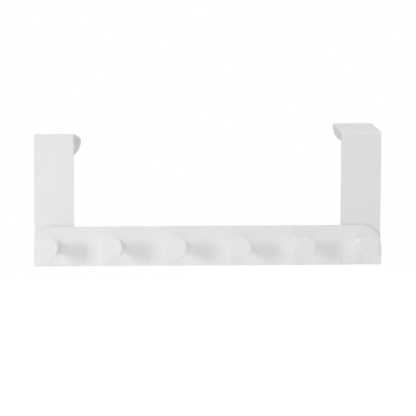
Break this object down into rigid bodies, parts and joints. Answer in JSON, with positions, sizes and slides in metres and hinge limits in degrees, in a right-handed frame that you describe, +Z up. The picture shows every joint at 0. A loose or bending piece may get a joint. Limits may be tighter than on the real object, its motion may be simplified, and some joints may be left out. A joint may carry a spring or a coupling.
{
  "type": "over door hook",
  "caption": "White steel rack that hooks over a door's top edge by two folded straps, with a row of flared knobs along its bar for coats and bags.",
  "frame": {"origin": "on the door's top front edge, midway between the two hooks: the straps' rear faces are in Y = 0 and the underside of the left hook is in Z = 0", "axes": "+X along the bar, to the right seen from the front; +Y from the bar into the door; +Z up"},
  "size_m": [0.35, 0.0767, 0.147],
  "materials": {
    "white_powder_coat": "white powder-coated steel, satin",
    "white_knob": "white moulded plastic, satin",
    "zinc_plate": "bright zinc-plated steel"
  },
  "bodies": {
    "root": {"rack_sheet": "white_powder_coat", "knob_1": "white_knob", "knob_2": "white_knob", "knob_3": "white_knob", "knob_4": "white_knob", "knob_5": "white_knob", "knob_6": "white_knob", "knob_screw_1": "zinc_plate", "knob_screw_2": "zinc_plate", "knob_screw_3": "zinc_plate", "knob_screw_4": "zinc_plate", "knob_screw_5": "zinc_plate", "knob_screw_6": "zinc_plate"}
  },
  "joints": []
}
